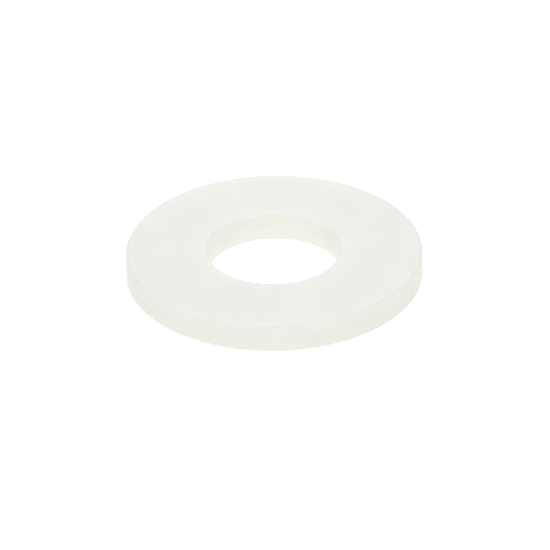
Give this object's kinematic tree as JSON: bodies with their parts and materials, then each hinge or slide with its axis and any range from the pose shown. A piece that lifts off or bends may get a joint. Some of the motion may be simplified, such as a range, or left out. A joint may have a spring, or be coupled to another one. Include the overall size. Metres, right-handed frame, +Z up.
{
  "type": "flat washer",
  "caption": "Flat round washer in translucent off-white nylon, spreading and insulating the clamp load under a 1/4 in. or M6 bolt head or nut.",
  "frame": {"origin": "centre of the bottom face, on the bore axis", "axes": "+Z up through the bore, from the bottom face to the top face; X and Y are any two perpendicular radii"},
  "size_m": [0.0158, 0.0158, 0.0016],
  "materials": {
    "nylon": "satin"
  },
  "bodies": {
    "root": {"flat_washer": "nylon"}
  },
  "joints": []
}
